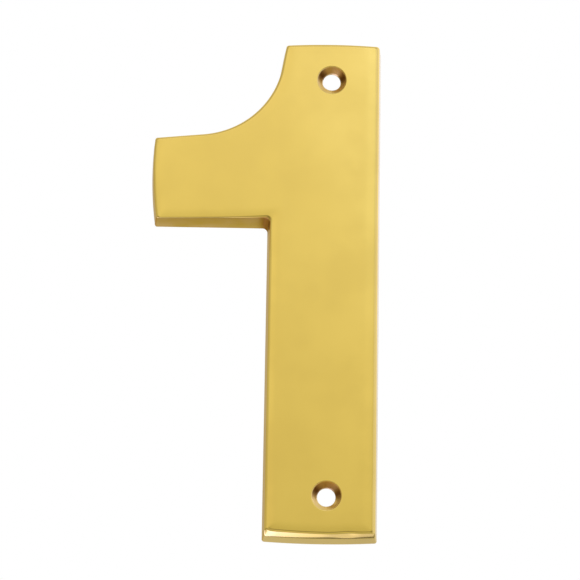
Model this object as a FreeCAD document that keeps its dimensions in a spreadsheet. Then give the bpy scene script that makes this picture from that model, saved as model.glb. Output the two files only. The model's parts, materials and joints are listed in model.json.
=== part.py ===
"""Brass door number: a hollow-backed cast numeral one, screwed to a door through two countersunk holes.

The numeral stands upright in its own frame: +Z up, +X to the right as it is read, and the door's
surface at Y = 0, with the face towards -Y. The origin lies on the door's surface, midway between
the two screw holes.
"""
import FreeCAD, Part
import math
import os

import Sketcher

# Driving dimensions in millimetres and degrees, each with the words that say what it measures
DIMENSIONS = {
    "stem_width": (22.6, "width of the stem at the door"),
    "stem_height": (101.5, "height of the stem's straight right side at the door"),
    "top_width": (19.7, "width of the top end, from the right side to the scoop's corner"),
    "flag_reach": (22.65, "how far the flag's corners stand out from the stem"),
    "flag_drop": (37.5, "depth of the flag's underside below the top's corners"),
    "flag_top_drop": (20.2, "depth of the flag's upper corner below the top's corners"),
    "flag_end_lean": (2.0, "lean of the flag's end from upright, outwards at the top, in degrees"),
    "flag_slope": (5.6, "rise of the flag's upper edge before the scoop, in degrees"),
    "scoop_radius": (17.0, "radius of the hollow curve between flag and top"),
    "scoop_lean": (10.0, "lean of the scoop's upper edge from upright, in degrees"),
    "foot_bow": (0.35, "how far the foot's edge bows out"),
    "top_bow": (0.35, "how far the top edge bows out"),
    "flag_bow": (0.5, "how far the flag's end bows out"),
    "depth": (6.5, "depth from the door to the face"),
    "draft": (4.5, "draft of the sides, narrowing towards the face, in degrees"),
    "face_wall": (2.1, "wall of the casting behind the face"),
    "rim": (2.2, "width of the rim that lies on the door"),
    "foot_bevel_depth": (2.1, "depth of the bevel along the foot's front edge, measured on its side"),
    "foot_bevel_height": (0.45, "height of that bevel, measured on the face"),
    "edge_radius": (0.5, "buffed round along the front edges and the corners"),
    "inner_corner_radius": (1.0, "round in the corner under the flag"),
    "recess_radius": (1.0, "round where the hollow back's walls meet its floor"),
    "foot_hole_margin": (8.1, "height of the lower screw hole above the foot's corners"),
    "top_hole_margin": (7.8, "depth of the upper screw hole below the top's corners"),
    "hole_offset": (1.2, "how far the holes stand to the right of the stem's middle"),
    "hole_diameter": (3.6, "bore of a screw hole"),
    "countersink_diameter": (5.95, "countersink at the face"),
    "countersink_angle": (90.0, "included angle of the countersinks, in degrees"),
}

# Points of a line, an arc or a circle in a sketch, and the sketch's own origin and upright axis
START, END, CENTRE = 1, 2, 3
ORIGIN = (-1, 1)
UPRIGHT_AXIS = -2

# Distance between the two screw holes, which keep their places from the foot and the top
HOLE_SPACING = "(sheet.stem_height - sheet.foot_hole_margin - sheet.top_hole_margin)"

# Distance within which an edge lies at a depth, in millimetres, and turn under which faces meet smoothly
NEAR = 1e-4
SMOOTH_ANGLE = math.radians(5)


def make_sheet(doc):
    """The spreadsheet of driving dimensions: words in column A, the number with its alias in column B."""
    sheet = doc.addObject("Spreadsheet::Sheet", "sheet")
    for row, (name, (value, words)) in enumerate(DIMENSIONS.items(), start=1):
        sheet.set(f"A{row}", words)
        sheet.set(f"B{row}", str(value))
        sheet.setAlias(f"B{row}", name)
    doc.recompute()
    return sheet


def origin_plane(body, role):
    """One of the body's own origin planes."""
    return next(feature for feature in body.Origin.OriginFeatures if feature.Role == role)


def sketch_on_door(body, name):
    """A sketch on the door's surface, with X to the right, Y up and its normal out of the door."""
    sketch = body.newObject("Sketcher::SketchObject", name)
    sketch.AttachmentSupport = [(origin_plane(body, "XZ_Plane"), "")]
    sketch.MapMode = "FlatFace"
    return sketch


def number(holder, expression):
    """The plain value of an expression on the sheet."""
    value = holder.evalExpression(expression)
    return float(getattr(value, "Value", value))


def bowed(first, last, bow):
    """The arc from one point to the next, anticlockwise, that stands out from its chord by the bow."""
    way = (last - first).normalize()
    outward = FreeCAD.Vector(way.y, -way.x, 0)
    return Part.Arc(first, (first + last) / 2 + outward * bow, last)


def bow_radius(chord, bow):
    """The expression for the radius of an arc over a chord with a given bow."""
    return f"(({chord}) ^ 2 / 4 + {bow} ^ 2) / (2 * {bow})"


def corner_loss(opening):
    """The expression for the share of an inset that an edge loses at a corner, by its opening past square."""
    return f"(1 - sin(({opening}) * 1 deg)) / cos(({opening}) * 1 deg)"


def draw_outline(body, name, inset):
    """The numeral's outline on the door's surface, set in from its outer edge by an expression.

    It has a straight stem with a bowed foot and top, and a flag with a bowed end, whose upper edge
    rises gently and then sweeps up to the top in a scoop.
    """
    sketch = sketch_on_door(body, name)
    top_loss = corner_loss("sheet.scoop_lean")
    flag_top_loss = corner_loss("sheet.flag_slope - sheet.flag_end_lean")
    flag_foot_loss = corner_loss("sheet.flag_end_lean")
    end_loss = f"{inset} * ({flag_top_loss} + {flag_foot_loss}) * cos(sheet.flag_end_lean * 1 deg)"
    sizes = {
        "left_of_holes": f"sheet.stem_width / 2 + sheet.hole_offset - {inset}",
        "below_middle": f"{HOLE_SPACING} / 2 + sheet.foot_hole_margin - {inset}",
        "stem_width": f"sheet.stem_width - 2 * {inset}",
        "stem_height": f"sheet.stem_height - 2 * {inset}",
        "top_width": f"sheet.top_width - {inset} * (1 + {top_loss})",
        "flag_reach": f"sheet.flag_reach + {inset} * (1 - {flag_foot_loss})",
        "flag_drop": f"sheet.flag_drop - 2 * {inset}",
        "flag_end_height": f"sheet.flag_drop - sheet.flag_top_drop - {end_loss}",
        "flag_end_rise": "90 + sheet.flag_end_lean",
        "flag_slope": "sheet.flag_slope",
        "scoop_rise": "90 - sheet.scoop_lean",
        "scoop_radius": f"sheet.scoop_radius + {inset}",
    }
    sizes["foot_curve"] = bow_radius(sizes["stem_width"], "sheet.foot_bow")
    sizes["top_curve"] = bow_radius(sizes["top_width"], "sheet.top_bow")
    end_chord = f"({sizes['flag_end_height']}) / cos(sheet.flag_end_lean * 1 deg)"
    sizes["flag_curve"] = bow_radius(end_chord, "sheet.flag_bow")
    value = {size: number(sketch, expression) for size, expression in sizes.items()}

    left = -value["left_of_holes"]
    right = left + value["stem_width"]
    foot = -value["below_middle"]
    top = foot + value["stem_height"]
    flag_end = left - value["flag_reach"]
    underside = top - value["flag_drop"]
    end_lean = value["flag_end_height"] * math.tan(math.radians(number(sketch, "sheet.flag_end_lean")))
    foot_left = FreeCAD.Vector(left, foot, 0)
    foot_right = FreeCAD.Vector(right, foot, 0)
    top_right = FreeCAD.Vector(right, top, 0)
    top_left = FreeCAD.Vector(right - value["top_width"], top, 0)
    flag_top = FreeCAD.Vector(flag_end - end_lean, underside + value["flag_end_height"], 0)
    flag_bottom = FreeCAD.Vector(flag_end, underside, 0)
    inner_corner = FreeCAD.Vector(left, underside, 0)

    # The scoop's centre lies one radius off the flag's upper edge and one radius off the leaning edge
    slope = math.radians(value["flag_slope"])
    rise = math.radians(value["scoop_rise"])
    radius = value["scoop_radius"]
    off_flag = FreeCAD.Vector(-math.sin(slope), math.cos(slope), 0)
    off_lean = FreeCAD.Vector(-math.sin(rise), math.cos(rise), 0)
    flag_offset = flag_top.dot(off_flag) + radius
    lean_offset = top_left.dot(off_lean) + radius
    spread = off_flag.x * off_lean.y - off_flag.y * off_lean.x
    centre_x = (flag_offset * off_lean.y - lean_offset * off_flag.y) / spread
    centre_y = (lean_offset * off_flag.x - flag_offset * off_lean.x) / spread
    centre = FreeCAD.Vector(centre_x, centre_y, 0)
    scoop_low = centre - off_flag * radius
    scoop_high = centre - off_lean * radius
    scoop_middle = centre - (off_flag + off_lean).normalize() * radius

    foot_edge = sketch.addGeometry(bowed(foot_left, foot_right, number(sketch, "sheet.foot_bow")))
    right_edge = sketch.addGeometry(Part.LineSegment(foot_right, top_right))
    top_edge = sketch.addGeometry(bowed(top_right, top_left, number(sketch, "sheet.top_bow")))
    lean_edge = sketch.addGeometry(Part.LineSegment(scoop_high, top_left))
    scoop = sketch.addGeometry(Part.Arc(scoop_low, scoop_middle, scoop_high))
    flag_edge = sketch.addGeometry(Part.LineSegment(flag_top, scoop_low))
    end_edge = sketch.addGeometry(bowed(flag_top, flag_bottom, number(sketch, "sheet.flag_bow")))
    under_edge = sketch.addGeometry(Part.LineSegment(flag_bottom, inner_corner))
    left_edge = sketch.addGeometry(Part.LineSegment(inner_corner, foot_left))
    end_chord_line = sketch.addGeometry(Part.LineSegment(flag_bottom, flag_top), True)

    joins = [
        ("Coincident", foot_edge, END, right_edge, START),
        ("Coincident", right_edge, END, top_edge, START),
        ("Coincident", top_edge, END, lean_edge, END),
        ("Tangent", lean_edge, START, scoop, END),
        ("Tangent", scoop, START, flag_edge, END),
        ("Coincident", flag_edge, START, end_edge, START),
        ("Coincident", end_edge, END, under_edge, START),
        ("Coincident", under_edge, END, left_edge, START),
        ("Coincident", left_edge, END, foot_edge, START),
        ("Vertical", right_edge),
        ("Vertical", left_edge),
        ("Horizontal", under_edge),
        ("Horizontal", foot_edge, START, foot_edge, END),
        ("Horizontal", top_edge, START, top_edge, END),
        ("Coincident", end_chord_line, START, end_edge, END),
        ("Coincident", end_chord_line, END, end_edge, START),
    ]
    for kind, *references in joins:
        sketch.addConstraint(Sketcher.Constraint(kind, *references))

    spans = {
        "left_of_holes": ("DistanceX", foot_edge, START, *ORIGIN),
        "below_middle": ("DistanceY", foot_edge, START, *ORIGIN),
        "stem_width": ("DistanceX", foot_edge, START, foot_edge, END),
        "stem_height": ("DistanceY", right_edge, START, right_edge, END),
        "top_width": ("DistanceX", top_edge, END, top_edge, START),
        "flag_reach": ("DistanceX", under_edge, START, under_edge, END),
        "flag_drop": ("DistanceY", left_edge, START, right_edge, END),
        "flag_end_height": ("DistanceY", end_edge, END, end_edge, START),
        "scoop_radius": ("Radius", scoop),
        "foot_curve": ("Radius", foot_edge),
        "top_curve": ("Radius", top_edge),
        "flag_curve": ("Radius", end_edge),
    }
    for size, (kind, *references) in spans.items():
        bind(sketch, size, Sketcher.Constraint(kind, *references, value[size]), sizes[size])
    angles = {"flag_slope": flag_edge, "scoop_rise": lean_edge, "flag_end_rise": end_chord_line}
    for size, edge in angles.items():
        bind(sketch, size, Sketcher.Constraint("Angle", edge, math.radians(value[size])), sizes[size])
    return sketch


def bind(sketch, name, constraint, expression):
    """Add a named dimension to a sketch and bind it to the sheet."""
    index = sketch.addConstraint(constraint)
    sketch.renameConstraint(index, name)
    sketch.setExpression(f"Constraints.{name}", expression)


def cast_block(body):
    """The outer form: the outline carried from the door to the face, with drafted sides."""
    block = body.newObject("PartDesign::Pad", "cast_block")
    block.Profile = draw_outline(body, "outline", "0")
    block.setExpression("Length", "sheet.depth")
    block.setExpression("TaperAngle", "-sheet.draft")
    body.Document.recompute()
    return block


def is_sharp(shape, edge):
    """Whether the two faces along an edge meet at an angle, and not smoothly."""
    middle = edge.valueAt((edge.FirstParameter + edge.LastParameter) / 2)
    faces = shape.ancestorsOfType(edge, Part.Face)
    first, second = (face.normalAt(*face.Surface.parameter(middle)) for face in faces)
    return first.getAngle(second) > SMOOTH_ANGLE


def lies_at(edge, depth):
    """Whether an edge lies wholly at one depth from the door."""
    box = edge.BoundBox
    return abs(box.YMin + depth) < NEAR and abs(box.YMax + depth) < NEAR


def edge_names(feature, chosen):
    """The names of a feature's edges for which a test holds."""
    return [f"Edge{index}" for index, edge in enumerate(feature.Shape.Edges, start=1) if chosen(edge)]


def round_edges(body, name, base, chosen, radius):
    """Round the chosen edges of the casting, with a radius from the sheet."""
    rounding = body.newObject("PartDesign::Fillet", name)
    rounding.Base = (base, edge_names(base, chosen))
    rounding.setExpression("Radius", f"sheet.{radius}")
    body.Document.recompute()
    return rounding


def buff_edges(body, block):
    """Round the corner under the flag, bevel the foot's front edge, then round every edge off the door."""
    depth = block.Length.Value
    corners = [e for e in block.Shape.Edges if is_sharp(block.Shape, e) and e.BoundBox.YLength > depth / 2]
    inner_corner = min(corners, key=lambda edge: edge.CenterOfMass.Length)
    base = round_edges(body, "inner_corner_round", block, inner_corner.isSame, "inner_corner_radius")
    front = [edge for edge in base.Shape.Edges if lies_at(edge, depth)]
    foot = min(front, key=lambda edge: edge.CenterOfMass.z)
    bevel = body.newObject("PartDesign::Chamfer", "foot_bevel")
    bevel.Base = (base, edge_names(base, foot.isSame))
    bevel.ChamferType = "Two distances"
    bevel.setExpression("Size", "sheet.foot_bevel_height")
    bevel.setExpression("Size2", "sheet.foot_bevel_depth")
    body.Document.recompute()
    shape = bevel.Shape
    return round_edges(
        body, "edge_round", bevel, lambda e: is_sharp(shape, e) and not lies_at(e, 0), "edge_radius"
    )


def hollow_back(body):
    """The hollow behind the face, open at the door, with drafted walls that leave a rim all round."""
    hollow = body.newObject("PartDesign::Pocket", "hollow_back")
    hollow.Profile = draw_outline(body, "hollow", "sheet.rim")
    hollow.Reversed = True
    hollow.setExpression("Length", "sheet.depth - sheet.face_wall")
    hollow.setExpression("TaperAngle", "-sheet.draft")
    body.Document.recompute()
    floor = hollow.Length.Value
    return round_edges(body, "hollow_round", hollow, lambda edge: lies_at(edge, floor), "recess_radius")


def screw_holes(body):
    """Two countersunk holes through the face, one above the other."""
    marks = sketch_on_door(body, "hole_marks")
    marks.setExpression("AttachmentOffset.Base.z", "sheet.depth")
    half_spacing = number(marks, f"{HOLE_SPACING} / 2")
    bore_radius = number(marks, "sheet.hole_diameter / 2")
    normal = FreeCAD.Vector(0, 0, 1)
    upper = marks.addGeometry(Part.Circle(FreeCAD.Vector(0, half_spacing, 0), normal, bore_radius))
    lower = marks.addGeometry(Part.Circle(FreeCAD.Vector(0, -half_spacing, 0), normal, bore_radius))
    marks.addConstraint(Sketcher.Constraint("PointOnObject", upper, CENTRE, UPRIGHT_AXIS))
    marks.addConstraint(Sketcher.Constraint("Equal", upper, lower))
    marks.addConstraint(Sketcher.Constraint("Symmetric", upper, CENTRE, lower, CENTRE, *ORIGIN))
    spacing = Sketcher.Constraint("DistanceY", lower, CENTRE, upper, CENTRE, 2 * half_spacing)
    bind(marks, "hole_spacing", spacing, HOLE_SPACING)
    bind(marks, "bore", Sketcher.Constraint("Diameter", upper, 2 * bore_radius), "sheet.hole_diameter")
    body.Document.recompute()

    holes = body.newObject("PartDesign::Hole", "screw_holes")
    holes.Profile = marks
    holes.DepthType = "ThroughAll"
    holes.DrillPoint = "Flat"
    holes.HoleCutType = "Countersink"
    holes.HoleCutCustomValues = True
    holes.setExpression("Diameter", "sheet.hole_diameter")
    holes.setExpression("HoleCutDiameter", "sheet.countersink_diameter")
    holes.setExpression("HoleCutCountersinkAngle", "sheet.countersink_angle")
    body.Document.recompute()
    return holes


def check(doc, body, smaller_each_time):
    """Stop if any object failed, a cut took nothing away, or the finished shape isn't one valid solid."""
    for thing in doc.Objects:
        if {"Invalid", "Error"} & set(thing.State):
            raise RuntimeError(f"{thing.Name} failed: {thing.State}")
    volumes = [feature.Shape.Volume for feature in smaller_each_time]
    if any(after >= before for before, after in zip(volumes, volumes[1:])):
        raise RuntimeError(f"a cut took nothing away: {volumes}")
    shape = body.Shape
    if shape.isNull() or not shape.isValid() or len(shape.Solids) != 1:
        raise RuntimeError("the casting isn't one valid solid")


def main():
    """Build the casting in a document and write its solid."""
    doc = FreeCAD.newDocument("door_number")
    make_sheet(doc)
    body = doc.addObject("PartDesign::Body", "door_number")
    body.Label = "door_number"
    block = cast_block(body)
    buffed = buff_edges(body, block)
    hollowed = hollow_back(body)
    drilled = screw_holes(body)
    check(doc, body, [block, buffed, hollowed, drilled])
    os.makedirs("parts", exist_ok=True)
    body.Shape.exportStep(f"parts/{body.Label}.step")
    print(f"{body.Label}: {body.Shape.Volume:.1f} cubic millimetres")


main()
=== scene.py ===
"""Looks of the brass door number: one polished casting with a hollow back and two countersunk holes.

The casting's skin is a section carried round the numeral's outline, with a gently uneven face and a
floor behind it, and the two holes are sections carried round circles. Every size is in metres, in
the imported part's own frame: +X to the right, +Z up, the door at Y = 0 and the face towards -Y.
"""
import json
import math

import bpy
import numpy as np
from bpy.props import FloatProperty, FloatVectorProperty, PointerProperty
from mathutils import Matrix, Vector
from mathutils.geometry import delaunay_2d_cdt


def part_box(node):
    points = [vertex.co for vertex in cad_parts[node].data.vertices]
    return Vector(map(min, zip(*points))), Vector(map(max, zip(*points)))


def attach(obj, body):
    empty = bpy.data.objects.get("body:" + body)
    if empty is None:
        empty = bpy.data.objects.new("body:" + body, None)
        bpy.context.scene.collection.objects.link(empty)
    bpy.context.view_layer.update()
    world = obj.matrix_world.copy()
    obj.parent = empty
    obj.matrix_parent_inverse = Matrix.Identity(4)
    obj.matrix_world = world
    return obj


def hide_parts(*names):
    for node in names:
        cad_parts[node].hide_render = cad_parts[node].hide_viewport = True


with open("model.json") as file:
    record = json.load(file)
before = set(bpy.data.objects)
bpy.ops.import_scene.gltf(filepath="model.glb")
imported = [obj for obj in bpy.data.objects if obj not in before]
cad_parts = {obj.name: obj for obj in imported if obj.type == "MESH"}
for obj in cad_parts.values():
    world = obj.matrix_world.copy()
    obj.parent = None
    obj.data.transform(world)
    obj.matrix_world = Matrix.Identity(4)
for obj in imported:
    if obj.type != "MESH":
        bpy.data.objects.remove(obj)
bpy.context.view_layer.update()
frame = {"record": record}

bl_info = {
    "name": "Brass door number",
    "version": (1, 0, 0),
    "blender": (4, 5, 0),
    "location": "View3D > Sidebar > Door number",
    "description": "Builds a polished cast brass numeral for a door, and a plain studio round it",
    "category": "Object",
}

MM = 0.001
NODE = "door_number"

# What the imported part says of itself: its box and its screw holes
BOX_LOW, BOX_HIGH = (np.array(corner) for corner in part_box(NODE))
HOLES = next(mount for mount in frame["record"]["mounts"] if mount["name"] == "screw_holes")

# The photograph's frame, in pixels
IMAGE_SIZE = 580

# The mesh attribute that holds painted shade: in the corner under the flag, along its underside and in the
# countersinks
PAINTED_SHADE = "painted_shade"

# Share of the painted shade from which the sides take the shaded copy of the buffed brass
SHADED_COPY_STARTS = 0.1

# Angle between two faces from which their edge is shaded sharp
SHARP_FROM = math.radians(35)

# Places in the casting's list of materials; the second is the buffed brass's copy with painted shade, for
# the sides under the flag
POLISHED, SHADED_COPY, FILED, CAST, DRILLED = range(5)

# Sockets of a mix node that mixes colours: the share, the two colours and the result
MIX_SHARE, MIX_FIRST, MIX_SECOND, MIX_RESULT = 0, 6, 7, 2


def length(name, millimetres, description):
    """A property that holds a length, with its default given in millimetres."""
    return FloatProperty(
        name=name, description=description, default=millimetres * MM, unit="LENGTH", precision=5
    )


def angle(name, degrees, description):
    """A property that holds an angle, with its default given in degrees."""
    return FloatProperty(name=name, description=description, default=math.radians(degrees), subtype="ANGLE")


def share(name, value, description):
    """A property that holds a plain number."""
    return FloatProperty(name=name, description=description, default=value, precision=4)


def colour(name, value, description):
    """A property that holds a linear colour."""
    return FloatVectorProperty(
        name=name, description=description, default=value, subtype="COLOR", min=0, max=1
    )


class NumeralSizes(bpy.types.PropertyGroup):
    """Sizes of the casting, as it is made."""

    stem_width: length("Stem width", 22.6, "Width of the stem at the door")
    stem_height: length("Stem height", 101.5, "Height of the stem's right side at the door")
    top_width: length("Top width", 19.7, "Width of the top end, up to the scoop's corner")
    flag_reach: length("Flag reach", 22.65, "How far the flag's underside stands out from the stem")
    flag_drop: length("Flag drop", 37.5, "Depth of the flag's underside below the top's corners")
    flag_top_drop: length("Flag top drop", 20.2, "Depth of the flag's upper corner below the top's corners")
    flag_end_lean: angle("Flag end lean", 2.0, "Lean of the flag's end, outwards at the top")
    flag_slope: angle("Flag slope", 5.6, "Rise of the flag's upper edge before the scoop")
    scoop_radius: length("Scoop radius", 17.0, "Radius of the hollow curve between flag and top")
    scoop_lean: angle("Scoop lean", 10.0, "Lean of the scoop's upper edge from upright")
    foot_bow: length("Foot bow", 0.35, "How far the foot's edge bows out")
    top_bow: length("Top bow", 0.35, "How far the top edge bows out")
    flag_bow: length("Flag bow", 0.5, "How far the flag's end bows out")
    depth: length("Depth", (BOX_HIGH - BOX_LOW)[1] / MM, "Depth from the door to the face")
    draft: angle("Draft", 4.5, "Draft of the sides, narrowing towards the face")
    rim: length("Rim", 2.2, "Width of the rim that lies on the door")
    edge_radius: length("Edge radius", 0.5, "Buffed round along the front edges")
    right_radius: length("Right radius", 0.9, "Wider buffed round along the right side's front edge")
    under_radius: length("Underside radius", 0.12, "Round along the front edge of the flag's underside")
    corner_radius: length("Corner radius", 0.5, "Round at the outline's outer corners")
    inner_corner_radius: length("Inner corner radius", 1.0, "Round in the corner under the flag")
    foot_bevel_depth: length("Foot bevel depth", 2.1, "Depth of the bevel at the foot, along its side")
    foot_bevel_height: length("Foot bevel height", 0.42, "Height of the bevel at the foot, on the face")
    rim_break: length("Rim break", 0.12, "Round that takes the sharpness off the rim")
    recess_radius: length("Recess radius", 1.0, "Round where the hollow's walls meet its floor")
    floor_depth: length("Floor depth", -HOLES["pos_m"][1] / MM, "Depth of the hollow's floor from the door")
    hole_spacing: length("Hole spacing", HOLES["dims"]["spacing_y_mm"], "Distance between the two holes")
    hole_radius: length("Hole radius", HOLES["dims"]["hole_r_mm"], "Radius of a screw hole's bore")
    foot_hole_margin: length("Foot hole margin", 8.1, "Height of the lower hole above the foot's corners")
    hole_offset: length("Hole offset", 1.2, "How far the holes stand to the right of the stem's middle")
    countersink_radius: length("Countersink radius", 2.975, "Radius of a countersink at the face")
    countersink_slope: share("Countersink slope", 1.5, "Depth of its cone for each length it narrows")
    countersink_break: length("Countersink break", 0.15, "Buffed round along a countersink's rim")


class HandFinish(bpy.types.PropertyGroup):
    """How uneven buffing and casting have left the surfaces, how far the painted shade under the flag
    reaches, and how finely they are modelled.
    """

    face_wave: length("Face wave", 0.02, "Height of the face's broad waves left by buffing")
    edge_wave: length("Edge wave", 0.05, "How far the front edges wander")
    bevel_wave: length("Bevel wave", 0.28, "How far the foot bevel's upper edge wanders")
    bevel_blend: length("Bevel blend", 0.16, "How softly the foot's bevel passes into its side")
    flag_twist: length("Flag twist", 0.5, "How far the flag's lower front corner hangs below its draft")
    face_fall: length("Face fall", 0.04, "How far the face falls away at its side and lower edges")
    fall_width: length("Fall width", 1.8, "Width of the strip over which the face falls away")
    rim_wear: length("Rim wear", 0.3, "How much wider the countersinks' rims are worn on one side")
    lip_wear: length("Lip wear", 0.3, "How much wider the bores' front edges are worn on that side")
    dish: share("Dish", 0.66, "How much shallower the countersinks are on that side, as a share")
    wear_heading: angle("Wear heading", 240, "Where that side lies, turning from the right")
    # How far the painted shade reaches in the corner under the flag and along the flag's underside
    corner_shade_reach: length("Corner shelter", 1.3, "How far the dark corner under the flag reaches")
    under_shade_reach: length("Underside shelter", 8.0, "How far the underside's darker end reaches")
    floor_wave: length("Floor wave", 0.1, "Height of the cast floor's unevenness")
    mesh_step: length("Mesh step", 0.7, "Distance between points along the outline and over the face")


class BrassColours(bpy.types.PropertyGroup):
    """Colours of the brass as polished, filed, cast and drilled, and of its painted shade and shaded copy.
    """

    polished: colour("Polished", (0.87, 0.627, 0.125), "Brass where it is buffed")
    polished_deep: colour("Polished, deep", (0.82, 0.585, 0.112), "Cloudy patches in the buffed brass")
    edge_tint: colour("Edge tint", (1.0, 0.93, 0.76), "Tint of the brass where it is seen at a low angle")
    # Painted shade under the flag, then the buffed brass's shaded copy there: a pale colour, lightest
    # towards the door as a painted reflection, and its edge tint
    shade_colour: colour("Sheltered", (0.344, 0.133, 0.008), "Brass that the buffing wheel can't reach")
    shaded_copy_colour: colour("Sheltered, pale", (1.0, 0.725, 0.36), "Cleanest brass under the flag")
    shaded_copy_tint: colour("Sheltered tint", (0.76, 0.63, 0.33), "Edge tint of the brass under the flag")
    # Painted shade on the countersinks' upper walls, which leaves their lower walls light
    countersink_shade: colour("Residue", (0.20, 0.07, 0.004), "Dark residue on the countersinks' walls")
    cast: colour("Cast", (0.42, 0.27, 0.085), "Brass skin as it left the mould")
    cast_deep: colour("Cast, deep", (0.20, 0.115, 0.04), "Darker patches of the cast skin")
    filed: colour("Filed", (0.80, 0.60, 0.17), "Brass of the rim, filed flat")
    filed_deep: colour("Filed, deep", (0.66, 0.47, 0.13), "Darker streaks on the rim")
    drilled: colour("Drilled", (1.0, 0.73, 0.22), "Brass of the countersinks and bores")
    drilled_deep: colour("Drilled, deep", (0.93, 0.63, 0.16), "Darker rings in the countersinks")


class StudioSettings(bpy.types.PropertyGroup):
    """The camera and the floor."""

    pitch: angle("Camera pitch", 15.387, "How steeply the camera looks up")
    yaw: angle("Camera yaw", 0.2, "How far the camera looks to the right")
    roll: angle("Camera roll", -0.956, "How far the camera is tilted")
    distance: length("Camera distance", 600.0, "Distance from the camera to the point it frames")
    scale: share("Image scale", 5012.0, "Pixels of the image for a metre at the framed point")
    framed_x: length("Framed point X", -1.2, "Framed point, across")
    framed_y: length("Framed point Y", -3.25, "Framed point, in depth")
    framed_column: share("Framed column", 322.858, "Column of the image where the framed point lies")
    framed_row: share("Framed row", 288.088, "Row of the image where the framed point lies")
    floor_drop: length("Floor drop", 450.0, "How far the floor lies below the part")
    floor_size: length("Floor size", 12000.0, "Width of the floor")
    floor_colour: colour("Floor colour", (0.88, 0.88, 0.72), "Pale floor")


def unit(vectors):
    """Vectors divided by their own length."""
    return vectors / np.linalg.norm(vectors, axis=-1, keepdims=True)


def around(angles):
    """Unit vectors at the given angles, turning from +X towards +Z."""
    return np.stack([np.cos(angles), np.sin(angles)], axis=-1)


def bearing(vectors):
    """Angles of vectors, turning from +X towards +Z."""
    return np.arctan2(vectors[..., 1], vectors[..., 0])


class Straight:
    """A straight edge of the outline, known by its outward normal and its reach along that normal."""

    def __init__(self, first, last):
        way = unit(last - first)
        self.normal = np.array([way[1], -way[0]])
        self.reach = self.normal @ first
        self.span = np.linalg.norm(last - first)

    def normal_at(self, points):
        """The one normal, for every point."""
        return np.broadcast_to(self.normal, points.shape)

    def between(self, first, last, inset, steps):
        """Points from the first to the last, by equal steps, with the last left out."""
        return first + steps[:, None, None] * (last - first)


class Bow:
    """An outward arc over a chord: it stands out from the chord's middle by a given height."""

    def __init__(self, first, last, height):
        chord = Straight(first, last)
        self.radius = (chord.span**2 / 4 + height**2) / (2 * height)
        self.centre = (first + last) / 2 - chord.normal * (self.radius - height)
        self.span = chord.span

    def normal_at(self, points):
        """Normals at points, straight out from the centre."""
        return unit(points - self.centre)

    def between(self, first, last, inset, steps):
        """Points along the arc set in, by equal angles, with the last left out."""
        start = bearing(first - self.centre)
        turn = np.mod(bearing(last - self.centre) - start, 2 * math.pi)
        angles = start + steps[:, None] * turn
        return self.centre + (self.radius - inset)[:, None] * around(angles)


def meeting(straight, other, straight_inset, other_inset, near):
    """Where a straight edge meets the next or last edge, each set in by its own distances.

    Two straight edges meet where both reaches hold. A straight edge meets an arc half a chord to
    one side of the foot of the perpendicular from the arc's centre, on the side of the point near.
    """
    reach = straight.reach - straight_inset
    if isinstance(other, Straight):
        normals = np.stack([straight.normal, other.normal])
        return np.linalg.solve(normals, np.stack([reach, other.reach - other_inset])).T
    from_centre = reach - straight.normal @ other.centre
    half_chord = np.sqrt((other.radius - other_inset) ** 2 - from_centre**2)
    along = np.array([-straight.normal[1], straight.normal[0]])
    side = np.sign((near - other.centre) @ along)
    return other.centre + from_centre[:, None] * straight.normal + (side * half_chord)[:, None] * along


def edge_inset(drop, corner, lean, radius):
    """Inset of a front edge at drops behind the face.

    A round of the given radius joins the face to a side that leans out from a sharp corner: an arc
    about a centre one radius inside both, then the straight side.
    """
    turn = math.pi / 2 - math.atan(lean)
    centre = corner + radius * math.tan(turn / 2)
    arc = centre - np.sqrt(np.clip(radius**2 - (radius - drop) ** 2, 0, None))
    return np.where(drop < radius * (1 - math.cos(turn)), arc, corner - drop * lean)


def softer(first, second, blend):
    """The larger of two values, with a smooth passage where they differ by less than the blend."""
    return np.maximum(first, second) + np.clip(blend - abs(first - second), 0, None) ** 2 / (4 * blend)


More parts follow.
